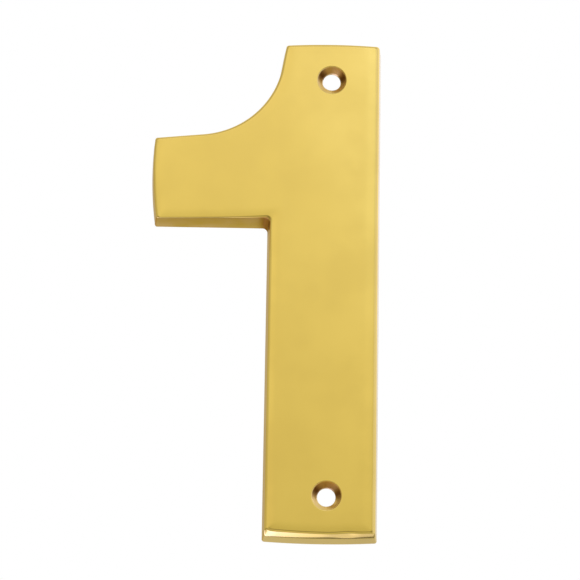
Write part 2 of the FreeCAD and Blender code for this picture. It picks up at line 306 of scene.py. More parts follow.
class Section:
    """The casting's section, from the face round the front edge and the side to the hollow's floor.

    Each column has a depth, an inset from the outline on the door, insets along the foot, along the
    right side and under the flag, a corner radius, shares of the face's fall, of its waves, of the
    edge's wander, of the foot bevel's wander and of the polished side, and the material of the strip
    that starts there.
    """

    STRIP_STEPS = 7
    ROUND_STEPS = 14
    SIDE_STEPS = 22
    BREAK_STEPS = 5
    WALL_STEPS = 6

    # Where the strip's last column lies, as a share of its width from the front edge
    STRIP_END = 0.03

    # How much the side's columns crowd towards the face
    SIDE_CROWDING = 1.5

    def __init__(self, sizes, finish):
        self.lean = math.tan(sizes.draft)
        parts = [self.front(sizes, finish), self.rim(sizes), self.hollow(sizes)]
        names = (
            "depth", "inset", "foot_inset", "right_inset", "under_inset", "radius",
            "fall", "waves", "wander", "foot_wander", "side", "material",
        )
        for name, values in zip(names, np.concatenate(parts, axis=1)):
            setattr(self, name, values)
        self.material = self.material[:-1].astype(int)

    def front(self, sizes, finish):
        """The face's buffed strip, the round front edge and the drafted side, bevelled at the foot."""
        face, radius, lean = sizes.depth, sizes.edge_radius, self.lean
        corner = face * lean
        bevel_corner = corner + sizes.foot_bevel_height
        bevel_depth = sizes.foot_bevel_depth * math.cos(sizes.draft)
        bevel_lean = (sizes.foot_bevel_height + bevel_depth * lean) / bevel_depth

        turned = np.linspace(0, math.pi / 2 - sizes.draft, self.ROUND_STEPS)
        on_round = radius * (1 - np.cos(turned))
        side = face - sizes.rim_break - on_round[-1]
        on_side = on_round[-1] + side * np.linspace(0, 1, self.SIDE_STEPS)[1:] ** self.SIDE_CROWDING
        drop = np.concatenate([on_round, on_side])
        inset = edge_inset(drop, corner, lean, radius)
        bevel = edge_inset(drop, bevel_corner, bevel_lean, radius)
        foot = softer(bevel, inset, finish.bevel_blend)
        right = edge_inset(drop, corner, lean, sizes.right_radius)
        under = edge_inset(drop, corner, lean, sizes.under_radius)

        strip = np.linspace(1, self.STRIP_END, self.STRIP_STEPS)
        across = strip * finish.fall_width
        on_edge = np.where(drop < on_round[-1], 1 - drop / on_round[-1], 0)
        depth = np.append(np.full_like(strip, face), face - drop)
        return np.stack([
            depth,
            np.append(inset[0] + across, inset),
            np.append(foot[0] + across, foot),
            np.append(right[0] + across, right),
            np.append(under[0] + across, under),
            np.full_like(depth, sizes.corner_radius),
            np.append((1 - strip) ** 2, on_edge),
            np.append(np.ones_like(strip), on_edge),
            np.append(1 - strip, on_edge),
            np.append(1 - strip, np.clip(1 - drop / bevel_depth, 0, 1)),
            np.append(np.zeros_like(strip), 1 - on_edge),
            np.full_like(depth, POLISHED),
        ])

    def plain(self, depth, inset, radius, material):
        """Columns of the back, which are alike all round and have no share of the front's wear."""
        none = np.zeros_like(depth)
        insets, shares = [inset] * 4, [none] * 5
        return np.stack([depth, *insets, none + radius, *shares, none + material])

    def rim(self, sizes):
        """The flat rim that lies on the door, with its two edges broken by small quarter rounds."""
        broken = sizes.rim_break
        turned = np.linspace(0, math.pi / 2, self.BREAK_STEPS)[1:]
        flat = np.linspace(broken, sizes.rim - broken, self.BREAK_STEPS)[1:]
        depth = np.concatenate([broken * (1 - np.sin(turned)), 0 * flat, broken * (1 - np.cos(turned))])
        inner = sizes.rim - broken * (1 - np.sin(turned))
        inset = np.concatenate([broken * (1 - np.cos(turned)), flat, inner])
        return self.plain(depth, inset, sizes.corner_radius, FILED)

    def hollow(self, sizes):
        """The hollow's drafted wall, the round at its foot and the start of its floor."""
        floor, radius, lean = sizes.floor_depth, sizes.recess_radius, self.lean
        turn = math.pi / 2 - sizes.draft
        turned = np.linspace(turn, 0, self.ROUND_STEPS)
        wall = np.linspace(sizes.rim_break, floor - radius * (1 - math.cos(turn)), self.WALL_STEPS)[1:-1]
        edge = sizes.rim + floor * lean + radius * math.tan(turn / 2)
        depth = np.concatenate([wall, floor - radius * (1 - np.cos(turned)), [floor]])
        inset = np.concatenate([sizes.rim + wall * lean, edge - radius * np.sin(turned), [edge + radius]])
        return self.plain(depth, inset, radius, CAST)


class Outline:
    """The numeral's outline on the door, with every edge set in by the section's columns.

    Anticlockwise as it is read: foot, right side, top, the scoop's leaning edge, scoop, flag's upper
    edge, flag's end, flag's underside and the stem's left side. An outer corner is an arc about the
    meeting point of its two edges set in by one radius more. The inner corner is an arc about the
    meeting point of its two edges set in by one radius less.
    """

    # Even steps round a corner, from its start up to but without its end
    CORNER_STEPS = np.arange(9) / 9

    # How late the edge under the flag swells, as a power of the share of its length
    SWELL_POWER = 4

    def __init__(self, sizes, section, step):
        self.section, self.step = section, step
        self.points, self.normals = [], []
        self.draw_edges(sizes)
        self.carry(sizes)
        self.points = np.concatenate(self.points)
        self.normals = np.concatenate(self.normals)

    def draw_edges(self, sizes):
        """The edges before they are set in, and their sharp corners."""
        left = -(sizes.stem_width / 2 + sizes.hole_offset)
        right = left + sizes.stem_width
        foot = -(sizes.hole_spacing / 2 + sizes.foot_hole_margin)
        top = foot + sizes.stem_height
        under = top - sizes.flag_drop
        flag_end = left - sizes.flag_reach
        flag_rise = sizes.flag_drop - sizes.flag_top_drop
        self.corner = {
            "foot_left": np.array([left, foot]),
            "foot_right": np.array([right, foot]),
            "top_right": np.array([right, top]),
            "top_left": np.array([right - sizes.top_width, top]),
            "flag_top": np.array([flag_end - flag_rise * math.tan(sizes.flag_end_lean), under + flag_rise]),
            "flag_low": np.array([flag_end, under]),
            "inner": np.array([left, under]),
        }
        at = self.corner
        down_lean = -around(np.array(math.pi / 2 - sizes.scoop_lean))
        back_flag = -around(np.array(sizes.flag_slope))
        self.foot = Bow(at["foot_left"], at["foot_right"], sizes.foot_bow)
        self.right = Straight(at["foot_right"], at["top_right"])
        self.top = Bow(at["top_right"], at["top_left"], sizes.top_bow)
        self.lean = Straight(at["top_left"], at["top_left"] + down_lean)
        self.flag = Straight(at["flag_top"] - back_flag, at["flag_top"])
        self.end = Bow(at["flag_top"], at["flag_low"], sizes.flag_bow)
        self.under = Straight(at["flag_low"], at["inner"])
        self.left = Straight(at["inner"], at["foot_left"])
        radius = np.array([sizes.scoop_radius])
        self.scoop_radius = sizes.scoop_radius
        self.scoop_centre = meeting(self.lean, self.flag, -radius, -radius, None)[0]

    def steps(self, span):
        """Even steps along an edge, from its start up to but without its end."""
        count = max(2, math.ceil(span / self.step))
        return np.arange(count) / count

    def add(self, points, normals):
        """Take up the next rows of points and their outward normals."""
        self.points.append(points)
        self.normals.append(np.broadcast_to(normals, points.shape))

    def add_corner(self, vertex, radius, first_normal, last_normal):
        """An arc about a vertex, from one edge's normal to the next one's, anticlockwise."""
        start = bearing(first_normal)
        turn = np.mod(bearing(last_normal) - start, 2 * math.pi)
        normals = around(start + self.CORNER_STEPS[:, None] * turn)
        self.add(vertex + radius[:, None] * normals, normals)

    def add_edge(self, edge, inset, first, last, radius):
        """An edge from the end of one corner's arc to the start of the next one's."""
        start = first + radius[:, None] * edge.normal_at(first)
        end = last + radius[:, None] * edge.normal_at(last)
        points = edge.between(start, end, inset, self.steps(edge.span))
        self.add(points, edge.normal_at(points))

    def carry(self, sizes):
        """Carry the section's columns round the outline."""
        inset, radius = self.section.inset, self.section.radius
        foot_inset, right_inset = self.section.foot_inset, self.section.right_inset
        under_inset = self.section.under_inset
        at = self.corner
        deep, deep_foot = inset + radius, foot_inset + radius
        deep_right, deep_under = right_inset + radius, under_inset + radius
        foot_right = meeting(self.right, self.foot, deep_right, deep_foot, at["foot_right"])
        top_right = meeting(self.right, self.top, deep_right, deep, at["top_right"])
        top_left = meeting(self.lean, self.top, deep, deep, at["top_left"])
        flag_top = meeting(self.flag, self.end, deep, deep, at["flag_top"])
        flag_low = meeting(self.under, self.end, deep_under, deep, at["flag_low"])
        foot_left = meeting(self.left, self.foot, deep, deep_foot, at["foot_left"])

        self.turn_corner(self.left, self.foot, foot_left, radius)
        self.add_edge(self.foot, foot_inset, foot_left, foot_right, radius)
        self.turn_corner(self.foot, self.right, foot_right, radius)
        self.add_edge(self.right, right_inset, foot_right, top_right, radius)
        self.turn_corner(self.right, self.top, top_right, radius)
        self.add_edge(self.top, inset, top_right, top_left, radius)
        self.turn_corner(self.top, self.lean, top_left, radius)

        # The scoop touches its two straight edges, and its outward normals point at its centre
        reach = (self.scoop_radius + inset)[:, None]
        scoop_high = self.scoop_centre - reach * self.lean.normal
        scoop_low = self.scoop_centre - reach * self.flag.normal
        lean_start = top_left + radius[:, None] * self.lean.normal
        lean_span = np.linalg.norm(lean_start[0] - scoop_high[0])
        self.add(self.lean.between(lean_start, scoop_high, inset, self.steps(lean_span)), self.lean.normal)
        turn = bearing(self.flag.normal) - bearing(self.lean.normal)
        scoop_steps = self.steps(abs(turn) * self.scoop_radius)
        normals = around(bearing(self.lean.normal) + scoop_steps * turn)[:, None]
        self.add(self.scoop_centre - reach * normals, normals)
        flag_stop = flag_top + radius[:, None] * self.flag.normal
        flag_span = np.linalg.norm(flag_stop[0] - scoop_low[0])
        self.add(self.flag.between(scoop_low, flag_stop, inset, self.steps(flag_span)), self.flag.normal)

        self.turn_corner(self.flag, self.end, flag_top, radius)
        self.add_edge(self.end, inset, flag_top, flag_low, radius)
        self.turn_corner(self.end, self.under, flag_low, radius)

        inner_radius = np.full_like(inset, sizes.inner_corner_radius)
        inner = meeting(self.under, self.left, inset - inner_radius, inset - inner_radius, at["inner"])
        # The underside's front edge swells from a sharp one to the even round as it nears the stem
        swell = (inset - under_inset)[:, None] * self.under.normal
        under_start = flag_low + radius[:, None] * self.under.normal
        under_stop = inner - inner_radius[:, None] * self.under.normal + swell
        under_steps = self.steps(self.under.span)
        under = self.under.between(under_start, under_stop, under_inset, under_steps)
        self.add(under - (under_steps**self.SWELL_POWER)[:, None, None] * swell, self.under.normal)
        normals = around(bearing(self.under.normal) - self.CORNER_STEPS * math.pi / 2)[:, None]
        self.add(inner - inner_radius[:, None] * normals, normals)
        left_start = inner - inner_radius[:, None] * self.left.normal
        left_stop = foot_left + radius[:, None] * self.left.normal
        left_steps = self.steps(self.left.span)
        self.add(self.left.between(left_start, left_stop, inset, left_steps), self.left.normal)

    def turn_corner(self, first, last, vertex, radius):
        """The outer corner between two edges."""
        self.add_corner(vertex, radius, first.normal_at(vertex), last.normal_at(vertex))


def bump(x, middle, width):
    """A smooth bump one high, the Gaussian curve about its middle."""
    return np.exp(-(((x - middle) / width) ** 2))


def broad_waves(x, z):
    """A smooth field between 0 and 1 over the numeral, the mean of four long sine waves.

    Each wave has its own direction and a length of one to three centimetres, as a buffing wheel leaves.
    """
    lengths = np.array([31.0, 19.0, 14.0, 23.0]) * MM
    headings = np.radians([78.0, 24.0, 131.0, 55.0])
    starts = np.array([0.4, 2.1, 4.0, 5.2])
    way = np.asarray(x)[..., None] * np.cos(headings) + np.asarray(z)[..., None] * np.sin(headings)
    return (1 + np.sin(2 * math.pi * way / lengths + starts).mean(axis=-1)) / 2


# Bumps of the foot bevel's upper edge: height, place across the stem and width, the last two in metres
FOOT_BUMPS = ((0.7, 4.2 * MM, 1.8 * MM), (1.4, -12.2 * MM, 1.0 * MM))

# How far its steady rise to the left goes, and how high
FOOT_RISE_LENGTH = 12 * MM
FOOT_RISE = 0.9


def foot_waves(x):
    """How far the upper edge of the foot's bevel wanders, across the stem.

    It rises steadily to the left, turns up at the left corner and has a bump to the right of the middle.
    """
    rise = FOOT_RISE * np.clip(-x / FOOT_RISE_LENGTH, 0, 1)
    return rise + sum(height * bump(x, middle, width) for height, middle, width in FOOT_BUMPS)


def flag_hang(plan, forward, outline, sizes, finish):
    """How far points of the flag hang below the even draft.

    The drop grows in proportion from the stem to the flag's end and from the door to the face, and
    fades smoothly from the underside to half the height of the flag's end.
    """
    inner = outline.corner["inner"]
    out = np.clip((inner[0] - plan[..., 0]) / sizes.flag_reach, 0, 1)
    half_end = (sizes.flag_drop - sizes.flag_top_drop) / 2
    up = np.clip((plan[..., 1] - inner[1]) / half_end, 0, 1)
    return finish.flag_twist * out * forward * (1 - up * up * (3 - 2 * up))


# Shares of the painted shade under the flag: all along, what is added at the stem, and what is left at the
# door, lighter as a painted reflection
UNDER_SHARE = 0.42
UNDER_AT_STEM = 0.09
UNDER_AT_DOOR = 0.3

# How far below the corner under the flag a side that looks down may lie and still be the flag's underside
UNDER_MARGIN = 1 * MM


def painted_shade_of(plan, normals, side, forward, inner, finish):
    """How much painted shade darkens points of the sides, between 0 and 1.

    The share falls off with the distance from the corner under the flag, and the flag's underside
    keeps some of it all along, more so towards the stem and the face; less of it near the door paints the
    door's reflection.
    """
    away = np.linalg.norm(plan - inner, axis=-1)
    under = np.clip(-normals[..., 1], 0, 1) * (plan[..., 1] > inner[1] - UNDER_MARGIN)
    along = UNDER_SHARE + UNDER_AT_STEM * np.exp(-away / finish.under_shade_reach)
    along = along * (UNDER_AT_DOOR + (1 - UNDER_AT_DOOR) * forward)
    return side * np.clip(bump(away, 0, finish.corner_shade_reach) + under * along, 0, 1)


def inside(points, loop):
    """Whether points lie inside a closed loop: an odd number of its edges lies to their right."""
    first, last = loop, np.roll(loop, -1, axis=0)
    x, z = points[:, :1], points[:, 1:]
    crosses = (first[:, 1] > z) != (last[:, 1] > z)
    rise = np.where(last[:, 1] == first[:, 1], 1, last[:, 1] - first[:, 1])
    cut = first[:, 0] + (z - first[:, 1]) / rise * (last[:, 0] - first[:, 0])
    return (crosses & (x < cut)).sum(axis=1) % 2 == 1


def gaps_to(points, border):
    """Distance from each point to the nearest point of a border."""
    return np.linalg.norm(points[:, None] - border, axis=-1).min(axis=1)


# How far a filled surface's own points keep from its loops, in steps
CLEAR_OF_LOOPS = 0.7

# Kind of triangles asked for: those inside the loops' edges
INSIDE_EDGES = 1

# Distance under which two points count as one, in millimetres
TOUCHING = 1e-6


def filled(outer, holes, step):
    """Points inside a loop and outside its holes, and the triangles that join them to all the loops.

    The points lie in staggered rows one step apart, and keep most of a step away from every loop. The
    triangles are the constrained Delaunay ones, anticlockwise, and count the loops' points first.
    """
    low, high = outer.min(axis=0), outer.max(axis=0)
    rows = np.arange(low[1], high[1], step * math.sqrt(3) / 2)
    columns = np.arange(low[0], high[0], step)
    x, z = np.meshgrid(columns, rows)
    x = x + (np.arange(len(rows)) % 2)[:, None] * step / 2
    grid = np.stack([x.ravel(), z.ravel()], axis=-1)
    keep = inside(grid, outer)
    for hole in holes:
        keep &= ~inside(grid, hole)
    grid = grid[keep]
    border = np.concatenate([outer, *holes])
    grid = grid[gaps_to(grid, border) > CLEAR_OF_LOOPS * step]

    edges, first = [], 0
    for loop in (outer, *holes):
        index = first + np.arange(len(loop))
        edges.append(np.stack([index, np.roll(index, -1)], axis=-1))
        first += len(loop)
    points = np.concatenate([border, grid]) / MM
    joined, _, triangles, *_ = delaunay_2d_cdt(
        list(map(Vector, points)), np.concatenate(edges).tolist(), [], INSIDE_EDGES, TOUCHING
    )
    if len(joined) != len(points):
        raise RuntimeError("the filled surface merged some of its points")
    triangles = np.array(triangles)
    middles = points[triangles].mean(axis=1) * MM
    in_hole = np.any([inside(middles, hole) for hole in holes], axis=0)
    return grid, triangles[~in_hole]


# Painted shade on a countersink's wall: angle of each patch's middle and its width, in degrees, and its
# share
COUNTERSINK_SHADE_PATCHES = ((15, 32, 0.9), (150, 29, 0.9), (90, 40, 0.3), (375, 32, 0.9))


def countersink_shading(angles):
    """How much painted shade darkens a countersink's wall by its angle, turning from the right.

    Most lies at both ends of the upper half, some between them, and the lower half has none, so it stays
    light.
    """
    turn = np.degrees(angles)
    return sum(share_there * bump(turn, middle, width) for middle, width, share_there in COUNTERSINK_SHADE_PATCHES)


class HoleSection:
    """A screw hole's section, from the face through the countersink and the bore to the hollow's floor.

    The face turns into the cone by a buffed round. The cone narrows by its slope to the bore's lip, the
    bore tapers from there to its own radius, and it ends in the hollow's floor by a small round. Below
    and to the left the round and the lip are worn wider and the cone is shallower, by a share that goes
    with the square of a raised cosine.
    """

    ROWS = 72
    ROUND_STEPS = 10
    CONE_STEPS = 6
    BORE_STEPS = 3
    EXIT_STEPS = 4

    # Rings of the face round the rim, by their distance from it, and the floor's ring, in exit rounds
    FACE_RINGS = np.array([1.0, 0.5, 0.2, 0.03]) * MM
    FLOOR_RING = 5

    def __init__(self, sizes, finish):
        self.angles = np.arange(self.ROWS) / self.ROWS * 2 * math.pi
        face, bore, floor, leaving = sizes.depth, sizes.hole_radius, sizes.floor_depth, sizes.rim_break
        worn = ((1 + np.cos(self.angles - finish.wear_heading)) / 2)[:, None] ** 2
        broken = sizes.countersink_break + finish.rim_wear * worn
        lip = bore + finish.lip_wear * worn
        slope = sizes.countersink_slope * (1 - finish.dish * worn)
        tilt = np.arctan(slope)
        rim = sizes.countersink_radius + broken * np.tan(tilt / 2)
        lip_depth = face - (sizes.countersink_radius - lip) * slope

        turned = np.linspace(0, 1, self.ROUND_STEPS) * tilt
        along = np.linspace(0, 1, self.CONE_STEPS + 1)[1:]
        inwards = np.linspace(0, 1, self.BORE_STEPS + 1)[1:]
        quarter = np.linspace(0, math.pi / 2, self.EXIT_STEPS + 1)[1:]
        round_radius = rim - broken * np.sin(turned)
        round_depth = face - broken * (1 - np.cos(turned))
        exit_radius = np.append(bore + leaving * (1 - np.cos(quarter)), bore + self.FLOOR_RING * leaving)
        exit_depth = np.append(floor + leaving * (1 - np.sin(quarter)), floor)
        all_round = np.ones_like(worn)
        radius = [
            rim + self.FACE_RINGS,
            round_radius,
            round_radius[:, -1:] + along * (lip - round_radius[:, -1:]),
            lip + inwards * (bore - lip),
            all_round * exit_radius,
        ]
        depth = [
            all_round * np.full_like(self.FACE_RINGS, face),
            round_depth,
            round_depth[:, -1:] + along * (lip_depth - round_depth[:, -1:]),
            lip_depth + inwards * (floor + leaving - lip_depth),
            all_round * exit_depth,
        ]
        counts = np.array([part.shape[1] for part in radius])
        beyond = np.zeros(counts[2:].sum())
        self.radius = np.concatenate(radius, axis=1)
        self.depth = np.concatenate(depth, axis=1)
        self.waves = np.concatenate([np.ones(counts[0]), np.linspace(1, 0, counts[1]), beyond])
        self.material = np.repeat([POLISHED, POLISHED, DRILLED, DRILLED, CAST], counts)[1:]
        # Painted shade on the countersinks' walls, carried in the same attribute as the casting's other
        # painted shade
        self.countersink_shade = countersink_shading(self.angles)[:, None] * np.repeat([0, 0, 1, 1, 0], counts)


class Skin:
    """The casting's skin as it is put together: points, quads, triangles, materials and painted shade."""

    def __init__(self):
        self.points, self.painted_shade = np.empty((0, 3)), np.empty(0)
        self.quads, self.triangles, self.materials = [], [], []
        self.front_loops, self.back_loops = [], []

    def add_points(self, plan, depth, painted_shade):
        """Add points by their places on the door and their depths from it, and give their numbers."""
        first = len(self.points)
        points = np.stack([plan[..., 0], -depth, plan[..., 1]], axis=-1).reshape(-1, 3)
        self.points = np.concatenate([self.points, points])
        self.painted_shade = np.append(self.painted_shade, painted_shade)
        return np.arange(first, len(self.points)).reshape(depth.shape)

    def add_band(self, plan, depth, materials, painted_shade, outer):
        """Add quads whose rows go round the numeral or, the other way, round a hole, front to back."""
        index = self.add_points(plan, depth, painted_shade)
        here, there = index[:, :-1], np.roll(index, -1, axis=0)[:, :-1]
        corners = (here, here + 1, there + 1, there) if outer else (here, there, there + 1, here + 1)
        self.quads.append(np.stack(corners, axis=-1).reshape(-1, 4))
        self.materials.append(np.broadcast_to(materials, here.shape).ravel())
        self.front_loops.append(index[:, 0])
        self.back_loops.append(index[:, -1])

    def fill(self, loops, step, depth_of, material, front):
        """Add the triangles that fill the first loop round the others, with a depth for each point."""
        flat = [self.points[loop][:, [0, 2]] for loop in loops]
        grid, made = filled(flat[0], flat[1:], step)
        index = self.add_points(grid, depth_of(grid, np.concatenate(flat)), np.zeros(len(grid)))
        lookup = np.concatenate([*loops, index])
        self.triangles.append(lookup[made if front else made[:, ::-1]])
        self.materials.append(np.full(len(made), material))


# Waves of the front edges and of the cast floor, as many times shorter than the face's
EDGE_WAVES = 2
FLOOR_WAVES = 4

# Height above the foot's corners up to which the bevel wanders, and how fast it stops wandering where
# the outline turns up, as a power of the normal's downward part
FOOT_REACH = 5 * MM
FOOT_FACING = 4

# Rows of the outline, to each side, over which the fall of the face's edges is evened out
FALL_ROWS = 9

# Distance from its border over which the cast floor becomes uneven
FLOOR_BORDER = 2 * MM


def casting_skin(sizes, finish):
    """The whole casting as one closed skin.

    The section goes round the outline, and each hole's section round its circle. The face and the
    floor fill what lies between them. The face lies lower where the broad waves are high, and the
    cast floor is uneven by shorter waves.
    """
    def face_drop(plan):
        """How far the face lies below its even depth."""
        return finish.face_wave * broad_waves(plan[..., 0], plan[..., 1])

    def face_depth(grid, border):
        """Depth of the face's own points."""
        return sizes.depth - face_drop(grid)

    def floor_depth(grid, border):
        """Depth of the floor's own points, which are even along its border."""
        uneven = broad_waves(FLOOR_WAVES * grid[:, 0], FLOOR_WAVES * grid[:, 1])
        inwards = np.clip(gaps_to(grid, border) / FLOOR_BORDER, 0, 1)
        return sizes.floor_depth - finish.floor_wave * uneven * inwards

    skin = Skin()
    add_outer_band(skin, sizes, finish, face_drop)
    hole = HoleSection(sizes, finish)
    for height in (sizes.hole_spacing / 2, -sizes.hole_spacing / 2):
        ring = around(hole.angles)[:, None] * hole.radius[..., None] + np.array([0, height])
        # The holes' painted shade goes into the skin's painted shade
        skin.add_band(ring, hole.depth - hole.waves * face_drop(ring), hole.material, hole.countersink_shade, False)
    skin.fill(skin.front_loops, finish.mesh_step, face_depth, POLISHED, True)
    skin.fill(skin.back_loops, finish.mesh_step, floor_depth, CAST, False)
    return skin


def add_outer_band(skin, sizes, finish, face_drop):
    """Carry the section round the outline, with the wear that buffing has left.

    The front edges wander inwards, and more so along the top of the foot's bevel. The flag's lower
    front corner hangs, and the face falls away along its side and lower edges.
    """
    section = Section(sizes, finish)
    outline = Outline(sizes, section, finish.mesh_step)
    plan, normals = outline.points, outline.normals
    waves = broad_waves(EDGE_WAVES * plan[..., 0], EDGE_WAVES * plan[..., 1])
    wander = finish.edge_wave * section.wander * waves
    low = plan[..., 1] < outline.corner["foot_left"][1] + FOOT_REACH
    on_foot = np.clip(-normals[..., 1], 0, 1) ** FOOT_FACING * low
    wander = wander + finish.bevel_wave * section.foot_wander * on_foot * foot_waves(plan[..., 0])
    plan = plan - normals * wander[..., None]
    plan[..., 1] -= flag_hang(plan, section.depth / sizes.depth, outline, sizes, finish)

    falls = 1 - np.clip(normals[..., 1], 0, 1)
    near_rows = range(-FALL_ROWS, FALL_ROWS + 1)
    falls = np.mean([np.roll(falls, rows, axis=0) for rows in near_rows], axis=0)
    depth = section.depth - section.waves * face_drop(plan) - finish.face_fall * section.fall * falls

    # Painted shade in the corner under the flag and along its underside; the sides past the round where it
    # is deep enough take the shaded copy of the buffed brass
    painted_shade = painted_shade_of(plan, normals, section.side, depth / sizes.depth, outline.corner["inner"], finish)
    both_rows = (painted_shade + np.roll(painted_shade, -1, axis=0)) / 2
    in_shade = (both_rows[:, :-1] + both_rows[:, 1:]) / 2 > SHADED_COPY_STARTS
    past_round = section.side[:-1] == 1
    materials = np.where(in_shade & past_round, SHADED_COPY, section.material)
    skin.add_band(plan, depth, materials, painted_shade, True)


def new_group(name, inputs, outputs):
    """An empty node group with named sockets, and its input and output nodes."""
    group = bpy.data.node_groups.new(name, "ShaderNodeTree")
    for socket, kind, value in inputs:
        made = group.interface.new_socket(socket, in_out="INPUT", socket_type=kind)
        if value is not None:
            made.default_value = value
    for socket, kind in outputs:
        group.interface.new_socket(socket, in_out="OUTPUT", socket_type=kind)
    return group, group.nodes.new("NodeGroupInput"), group.nodes.new("NodeGroupOutput")


def noise(tree, vector, scale, detail=3.0, roughness=0.5):
    """A noise texture on given coordinates."""
    node = tree.nodes.new("ShaderNodeTexNoise")
    node.inputs["Detail"].default_value = detail
    node.inputs["Roughness"].default_value = roughness
    tree.links.new(vector, node.inputs["Vector"])
    if isinstance(scale, bpy.types.NodeSocket):
        tree.links.new(scale, node.inputs["Scale"])
    else:
        node.inputs["Scale"].default_value = scale
    return node.outputs["Fac"]


def cloud_group():
    """Cloudy brass: two colours mixed by broad noise, and a value that drifts between two limits."""
    group, given, made = new_group(
        "Brass clouds",
        [
            ("Vector", "NodeSocketVector", None),
            ("Scale", "NodeSocketFloat", 120.0),
            ("Colour", "NodeSocketColor", None),
            ("Deep colour", "NodeSocketColor", None),
            ("Smooth", "NodeSocketFloat", 0.1),
            ("Rough", "NodeSocketFloat", 0.2),
        ],
        [("Colour", "NodeSocketColor"), ("Roughness", "NodeSocketFloat")],
    )
    fac = noise(group, given.outputs["Vector"], given.outputs["Scale"])
    contrast = group.nodes.new("ShaderNodeMapRange")
    contrast.interpolation_type = "SMOOTHSTEP"
    contrast.inputs["From Min"].default_value = 0.3
    contrast.inputs["From Max"].default_value = 0.7
    group.links.new(fac, contrast.inputs["Value"])
    mix = group.nodes.new("ShaderNodeMix")
    mix.data_type = "RGBA"
    group.links.new(contrast.outputs["Result"], mix.inputs[MIX_SHARE])
    group.links.new(given.outputs["Colour"], mix.inputs[MIX_FIRST])
    group.links.new(given.outputs["Deep colour"], mix.inputs[MIX_SECOND])
    drift = group.nodes.new("ShaderNodeMapRange")
    group.links.new(contrast.outputs["Result"], drift.inputs["Value"])
    group.links.new(given.outputs["Smooth"], drift.inputs["To Min"])
    group.links.new(given.outputs["Rough"], drift.inputs["To Max"])
    group.links.new(mix.outputs[MIX_RESULT], made.inputs["Colour"])
    group.links.new(drift.outputs["Result"], made.inputs["Roughness"])
    return group


def grain_group():
    """Grain of a surface: noise stretched along one way, for scratches, or even all ways, for sand."""
    group, given, made = new_group(
        "Brass grain",
        [
            ("Vector", "NodeSocketVector", None),
            ("Stretch", "NodeSocketVector", (1.0, 1.0, 1.0)),
            ("Scale", "NodeSocketFloat", 1000.0),
        ],
        [("Height", "NodeSocketFloat")],
    )
    stretch = group.nodes.new("ShaderNodeVectorMath")
    stretch.operation = "MULTIPLY"
    group.links.new(given.outputs["Vector"], stretch.inputs[0])
    group.links.new(given.outputs["Stretch"], stretch.inputs[1])
    fac = noise(group, stretch.outputs["Vector"], given.outputs["Scale"], detail=5.0, roughness=0.6)
    group.links.new(fac, made.inputs["Height"])
    return group


def painted_shade_group():
    """Painted shade: a colour passes to a shade colour by the mesh's own attribute."""
    group, given, made = new_group(
        "Brass shelter",
        [("Colour", "NodeSocketColor", None), ("Shade colour", "NodeSocketColor", None)],
        [("Colour", "NodeSocketColor")],
    )
    painted_shade = group.nodes.new("ShaderNodeAttribute")
    painted_shade.attribute_name = PAINTED_SHADE
    mix = group.nodes.new("ShaderNodeMix")
    mix.data_type = "RGBA"
    group.links.new(painted_shade.outputs["Fac"], mix.inputs[MIX_SHARE])
    group.links.new(given.outputs["Colour"], mix.inputs[MIX_FIRST])
    group.links.new(given.outputs["Shade colour"], mix.inputs[MIX_SECOND])
    group.links.new(mix.outputs[MIX_RESULT], made.inputs["Colour"])
    return group


